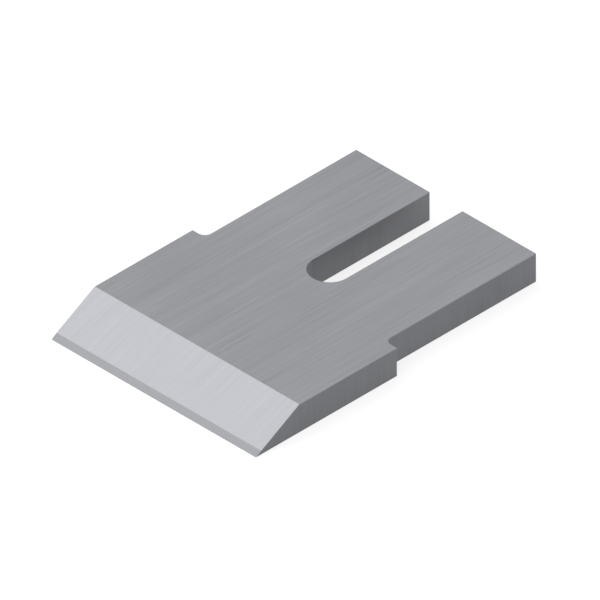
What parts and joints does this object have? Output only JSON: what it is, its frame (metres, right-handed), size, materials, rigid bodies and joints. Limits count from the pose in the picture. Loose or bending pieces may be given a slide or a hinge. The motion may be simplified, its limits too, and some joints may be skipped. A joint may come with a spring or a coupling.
{
  "type": "shredder blade",
  "caption": "Flat steel shredder blade with a bevelled cutting edge across a wide head, and a narrower forked shank with an open bolt slot.",
  "frame": {"origin": "middle of the blade's length and width, on its flat back", "axes": "+X along the cutting edge, +Y from the cutting edge to the forked end, +Z from the flat back to the bevelled side"},
  "size_m": [0.1, 0.143, 0.012],
  "materials": {
    "blade_steel": "ground, satin"
  },
  "bodies": {
    "root": {"blade": "blade_steel"}
  },
  "joints": []
}
